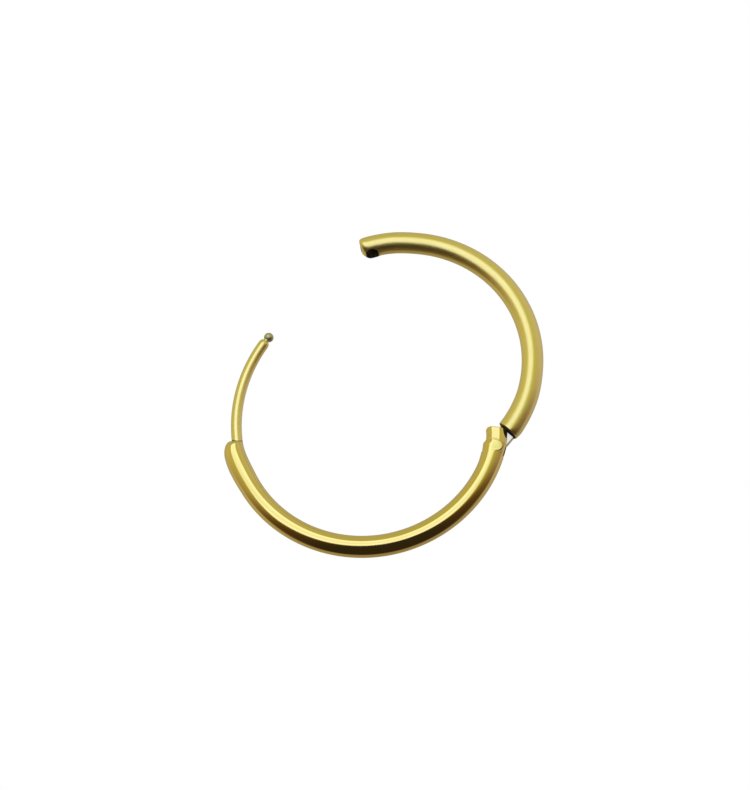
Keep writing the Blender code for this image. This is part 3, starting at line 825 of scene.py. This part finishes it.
def tint_change():
    """Slow change between two tints over the surface."""
    tree, given, result = group_tree(
        "tint_change",
        [("Place", "NodeSocketVector", None), ("Scale", "NodeSocketFloat", 400.0),
         ("Tint A", "NodeSocketColor", (1.0, 1.0, 1.0, 1.0)),
         ("Tint B", "NodeSocketColor", (1.0, 1.0, 1.0, 1.0))],
        [("Tint", "NodeSocketColor")])
    share = ramp(tree, noise_value(tree, given["Place"], given["Scale"], 4.0), 0.3, 0.7)
    feed(tree, result["Tint"], blend_colour(tree, share, given["Tint A"], given["Tint B"]))
    return tree


def shade_and_tarnish():
    """Painted shade and tarnish: darkens where the painted shade attribute says, with a ragged edge.

    A few fine specks of tarnish lie elsewhere.
    """
    tree, given, result = group_tree(
        "shade_and_tarnish",
        [("Place", "NodeSocketVector", None), ("Shade", "NodeSocketFloat", 0.0),
         ("Undarkened", "NodeSocketColor", (1.0, 1.0, 1.0, 1.0)),
         ("Dark", "NodeSocketColor", (0.05, 0.03, 0.02, 1.0)),
         ("Specks", "NodeSocketFloat", 0.15)],
        [("Colour", "NodeSocketColor"), ("Amount", "NodeSocketFloat")])
    uneven = noise_value(tree, given["Place"], 6000.0, 3.0)
    ragged = ramp(tree, calc(tree, "MULTIPLY_ADD", uneven, 0.5, given["Shade"]), 0.45, 1.0)
    rare = ramp(tree, noise_value(tree, given["Place"], 2600.0, 5.0), 0.66, 0.80)
    specks = calc(tree, "MULTIPLY", rare, given["Specks"])
    amount = calc(tree, "ADD", ragged, specks, clamp=True)
    feed(tree, result["Colour"], blend_colour(tree, amount, given["Undarkened"], given["Dark"]))
    feed(tree, result["Amount"], amount)
    return tree


LINES = polishing_lines()
TINT = tint_change()
SHADE_AND_TARNISH = shade_and_tarnish()

# Metals
GLOSS_SPREAD = 0.3
DARKENED_DULLNESS = 0.35
SPECKS = 0.03
RELIEF = 0.12
RELIEF_DEPTH = 0.002 * MM
LACQUER_ROUGHNESS = 0.12


def metal(name, tint_a, tint_b, roughness, stretch=0.06, dark=(0.05, 0.03, 0.02), lacquer=0.0,
          metallic=1.0):
    """Metal whose colour drifts between two tints and whose gloss and relief follow fine lines.

    Where painted shade lies, and on a few fine specks of tarnish, it turns to the dark tint and loses
    its gloss.
    """
    material = bpy.data.materials.new(name)
    material.use_nodes = True
    tree = material.node_tree
    shader = tree.nodes["Principled BSDF"]
    shader.inputs["Metallic"].default_value = metallic
    shader.inputs["Coat Weight"].default_value = lacquer
    shader.inputs["Coat Roughness"].default_value = LACQUER_ROUGHNESS
    place, shade_attribute = (tree.nodes.new("ShaderNodeAttribute") for _ in range(2))
    place.attribute_name, shade_attribute.attribute_name = "straight", "painted_shade"
    lines, tint, darkening = (tree.nodes.new("ShaderNodeGroup") for _ in range(3))
    lines.node_tree, tint.node_tree, darkening.node_tree = LINES, TINT, SHADE_AND_TARNISH
    for group in (lines, tint, darkening):
        feed(tree, group.inputs["Place"], place.outputs["Vector"])
    feed(tree, lines.inputs["Stretch"], stretch)
    feed(tree, tint.inputs["Tint A"], tint_a + (1.0,))
    feed(tree, tint.inputs["Tint B"], tint_b + (1.0,))
    feed(tree, darkening.inputs["Shade"], shade_attribute.outputs["Fac"])
    feed(tree, darkening.inputs["Undarkened"], tint.outputs["Tint"])
    feed(tree, darkening.inputs["Dark"], dark + (1.0,))
    feed(tree, darkening.inputs["Specks"], SPECKS)
    gloss = tree.nodes.new("ShaderNodeMapRange")
    feed(tree, gloss.inputs["Value"], lines.outputs["Lines"])
    feed(tree, gloss.inputs["To Min"], roughness * (1.0 - GLOSS_SPREAD))
    feed(tree, gloss.inputs["To Max"], roughness * (1.0 + GLOSS_SPREAD))
    dulled = calc(tree, "MULTIPLY_ADD", darkening.outputs["Amount"], DARKENED_DULLNESS,
                  gloss.outputs["Result"], clamp=True)
    bump = tree.nodes.new("ShaderNodeBump")
    feed(tree, bump.inputs["Height"], lines.outputs["Lines"])
    feed(tree, bump.inputs["Strength"], RELIEF)
    feed(tree, bump.inputs["Distance"], RELIEF_DEPTH)
    feed(tree, shader.inputs["Base Color"], darkening.outputs["Colour"])
    feed(tree, shader.inputs["Roughness"], dulled)
    feed(tree, shader.inputs["Normal"], bump.outputs["Normal"])
    return material


gold = metal("polished_gold", (0.91, 0.69, 0.18), (0.89, 0.67, 0.165), 0.12, lacquer=0.5)
satin_gold = metal("satin_gold", (0.98, 0.77, 0.20), (0.96, 0.75, 0.185), 0.36, lacquer=1.0)
wire_gold = metal("gold_wire", (0.97, 0.78, 0.22), (0.95, 0.75, 0.20), 0.32, lacquer=1.0,
                  dark=(0.09, 0.07, 0.025))
rivet_gold = metal("rivet_gold", (0.83, 0.685, 0.175), (0.80, 0.655, 0.155), 0.25)
steel = metal("bare_steel", (0.82, 0.73, 0.52), (0.74, 0.66, 0.47), 0.30, stretch=0.3)
ball_steel = metal("ball_steel", (0.66, 0.61, 0.32), (0.57, 0.53, 0.26), 0.46, stretch=0.3)
# Very dark brown for the tube's inside, its cut rims and the hinge face: bare unplated metal,
# darkened further as painted shade of the hollow and of the hinge's gap
shaded_inside = metal("tube_inside_shaded", (0.17, 0.12, 0.065), (0.12, 0.085, 0.045), 0.6, stretch=0.3,
                   metallic=0.3)

# Pieces
RIM_ROUND = 0.045 * MM
RIM_ANGLE = math.radians(60.0)

lower = make_piece("lower_tube", [lower_tube(), ear(1.0), ear(-1.0)], [gold])
upper_shape, upper_keep = upper_tube()
upper = make_piece("upper_tube", [upper_shape], [satin_gold, shaded_inside], keep=upper_keep,
                   end_rows=FACE_ROWS)
wall = upper.modifiers.new("wall", "SOLIDIFY")
wall.thickness = WALL
wall.offset = -1.0
wall.material_offset = 1
wall.material_offset_rim = 1
rims = upper.modifiers.new("rims", "BEVEL")
rims.width = RIM_ROUND
rims.segments = 3
rims.limit_method = "ANGLE"
rims.angle_limit = RIM_ANGLE
wire_piece = make_piece("post_wire", [post_wire()], [wire_gold])
ball_piece = make_piece("post_ball", [post_ball()], [ball_steel])
rivet_piece = make_piece("hinge_rivet", [rivet()], [rivet_gold])
tongue_piece = make_piece("steel_tongue", [tongue()], [steel])

DRESS = (
    (lower, "lower_body", "lower_half", "polished_gold"),
    (wire_piece, "lower_body", "ear_post", "gold_wire"),
    (ball_piece, "lower_body", "ear_post", "bare_steel"),
    (rivet_piece, "lower_body", "hinge_pin", "rivet_gold"),
    (upper, "upper_body", "upper_half", "polished_gold"),
    (tongue_piece, "upper_body", "hinge_tongue", "bare_steel"),
)
for piece, body, node, finish in DRESS:
    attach(piece, body)
    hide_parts(node)

# Floor, light and camera
FLOOR_SIZE = 4.0
FLOOR_PLACE = (-0.009, 0.008, -0.00002)


def light_mix(tree, share, first, second):
    """Send a mix of two shaders, by a share from 0 to 1, to the material's output."""
    mix = tree.nodes.new("ShaderNodeMixShader")
    for socket, value in zip(mix.inputs, (share, first.outputs[0], second.outputs[0])):
        feed(tree, socket, value)
    feed(tree, tree.nodes["Material Output"].inputs["Surface"], mix.outputs[0])


def make_floor():
    """Wide paper floor that the camera sees as plain white."""
    bpy.ops.mesh.primitive_plane_add(size=FLOOR_SIZE, location=FLOOR_PLACE)
    floor = bpy.context.object
    floor.name = "floor"
    floor.visible_glossy = False
    material = bpy.data.materials.new("white_paper")
    material.use_nodes = True
    tree = material.node_tree
    shader = tree.nodes["Principled BSDF"]
    shader.inputs["Base Color"].default_value = (0.85, 0.85, 0.85, 1.0)
    shader.inputs["Roughness"].default_value = 0.9
    white, rays = tree.nodes.new("ShaderNodeEmission"), tree.nodes.new("ShaderNodeLightPath")
    white.inputs["Color"].default_value = (1.0, 1.0, 1.0, 1.0)
    light_mix(tree, rays.outputs["Is Camera Ray"], shader, white)
    floor.data.materials.append(material)


# Overhead panel, in metres. Each edge gives where its light starts and where it is whole. The dip
# is the weaker line.
PANEL_SIZE = 1.2
PANEL_HEIGHT = 0.134
PANEL_COLOUR = (1.17, 1.34, 1.95, 1.0)
PANEL_LEVEL = 1.05
PANEL_SLANT = 0.095
PANEL_SOUTH = (-0.0315, -0.0155)
PANEL_NORTH = (0.136, 0.097)
PANEL_WEST = (-0.124, -0.100)
PANEL_EAST = (0.055, 0.019)
DIP_DEPTH = 0.2
DIP_PLACE = 0.034
DIP_WIDTH = 0.024


def make_panel():
    """Overhead light panel with a sharp edge towards the camera and soft edges elsewhere.

    Its light is a little weaker along a line near the sharp edge, as between two lamps, by a
    bell-shaped amount of the distance from that line.
    """
    bpy.ops.mesh.primitive_plane_add(size=PANEL_SIZE, location=(0.0, 0.0, PANEL_HEIGHT))
    panel = bpy.context.object
    panel.name = "light_panel"
    panel.data.transform(panel.matrix_world)
    panel.matrix_world = Matrix.Identity(4)
    panel.visible_camera = False
    panel.visible_shadow = False
    material = bpy.data.materials.new("panel_light")
    material.use_nodes = True
    tree = material.node_tree
    tree.nodes.remove(tree.nodes["Principled BSDF"])
    place, split = tree.nodes.new("ShaderNodeTexCoord"), tree.nodes.new("ShaderNodeSeparateXYZ")
    feed(tree, split.inputs[0], place.outputs["Object"])
    x, y = split.outputs["X"], split.outputs["Y"]
    slanted = calc(tree, "MULTIPLY_ADD", x, PANEL_SLANT, y)
    south, west = ramp(tree, slanted, *PANEL_SOUTH), ramp(tree, x, *PANEL_WEST)
    north, east = (ramp(tree, value, whole, none, 1.0, 0.0)
                   for value, (none, whole) in ((y, PANEL_NORTH), (x, PANEL_EAST)))
    share = calc(tree, "MULTIPLY", calc(tree, "MULTIPLY", south, north),
                 calc(tree, "MULTIPLY", west, east))
    away = calc(tree, "MULTIPLY_ADD", slanted, 1.0 / DIP_WIDTH, -DIP_PLACE / DIP_WIDTH)
    bell = calc(tree, "EXPONENT", calc(tree, "MULTIPLY", calc(tree, "MULTIPLY", away, away), -1.0))
    light, clear = (tree.nodes.new(kind) for kind in ("ShaderNodeEmission",
                                                      "ShaderNodeBsdfTransparent"))
    light.inputs["Color"].default_value = PANEL_COLOUR
    strength = calc(tree, "MULTIPLY_ADD", bell, -DIP_DEPTH, PANEL_LEVEL)
    feed(tree, light.inputs["Strength"], strength)
    light_mix(tree, share, clear, light)
    panel.data.materials.append(material)


# Pale room: its colour, and the shares of each term of a direction
ROOM_LEVEL = (0.436, 0.389, 0.352)
ROOM_SHARES = (("x", (0.006, 0.013, 0.096)), ("y", (0.054, 0.097, 0.006)),
               ("z", (0.046, 0.069, -0.055)), ("zz", (-0.049, 0.017, -0.267)),
               ("xx", (0.152, 0.157, 0.192)))
# Dark sectors towards the camera: colour, turn of the middle, and where each starts and is whole,
# by how far a direction points towards the middle, and upwards
DARK_SECTORS = (((0.143, 0.076, 0.018), -0.098, (-0.328, 0.535), (-0.172, -0.122)),
                ((0.030, 0.023, 0.020), -0.119, (0.123, 0.909), (-0.518, -0.285)))


def make_room():
    """Pale room, dark towards the camera's side, as a function of direction.

    Formula: the pale part is a constant colour plus shares of x, y, z, z squared and x squared.
    A wide sector towards the camera falls to brown, and to nearly black inside it, from a little
    below the horizon upwards. The camera itself sees white.
    """
    world = bpy.data.worlds.new("studio")
    bpy.context.scene.world = world
    world.use_nodes = True
    tree = world.node_tree
    place, split = tree.nodes.new("ShaderNodeTexCoord"), tree.nodes.new("ShaderNodeSeparateXYZ")
    feed(tree, split.inputs[0], place.outputs["Generated"])
    x, y, z = (split.outputs[axis] for axis in "XYZ")
    terms = {"x": x, "y": y, "z": z, "zz": calc(tree, "MULTIPLY", z, z),
             "xx": calc(tree, "MULTIPLY", x, x)}
    colour = ROOM_LEVEL
    for term, shares in ROOM_SHARES:
        node = tree.nodes.new("ShaderNodeVectorMath")
        node.operation = "MULTIPLY_ADD"
        for socket, value in zip(node.inputs, (terms[term], shares, colour)):
            feed(tree, socket, value)
        colour = node.outputs[0]
    level_part = calc(tree, "SQRT", calc(tree, "ADD", terms["xx"],
                                         calc(tree, "MULTIPLY_ADD", y, y, 0.0001)))
    for tint, turn, pointing, upwards in DARK_SECTORS:
        across = calc(tree, "MULTIPLY", x, math.sin(turn))
        towards = calc(tree, "MULTIPLY_ADD", y, -math.cos(turn), across)
        towards = calc(tree, "DIVIDE", towards, level_part)
        share = calc(tree, "MULTIPLY", ramp(tree, towards, *pointing), ramp(tree, z, *upwards))
        colour = blend_colour(tree, share, colour, tint)
    rays = tree.nodes.new("ShaderNodeLightPath")
    seen = blend_colour(tree, rays.outputs["Is Camera Ray"], colour, (1.0, 1.0, 1.0))
    feed(tree, tree.nodes["Background"].inputs["Color"], seen)


make_floor()
make_panel()
make_room()
bpy.context.scene.view_settings.view_transform = "Standard"

# The camera's place and lens were fitted to the photograph's outlines
camera = bpy.data.objects.new("camera", bpy.data.cameras.new("camera"))
bpy.context.scene.collection.objects.link(camera)
camera.data.sensor_width = 36.0
camera.data.lens = 129.39
camera.data.clip_start = 0.01
camera.data.clip_end = 10.0
camera.matrix_world = Matrix((
    (0.97555, 0.21977, 0.0, -0.009812),
    (-0.20322, 0.90211, -0.38065, -0.091743),
    (-0.08366, 0.37135, 0.92472, 0.242871),
    (0.0, 0.0, 0.0, 1.0)))
bpy.context.scene.camera = camera
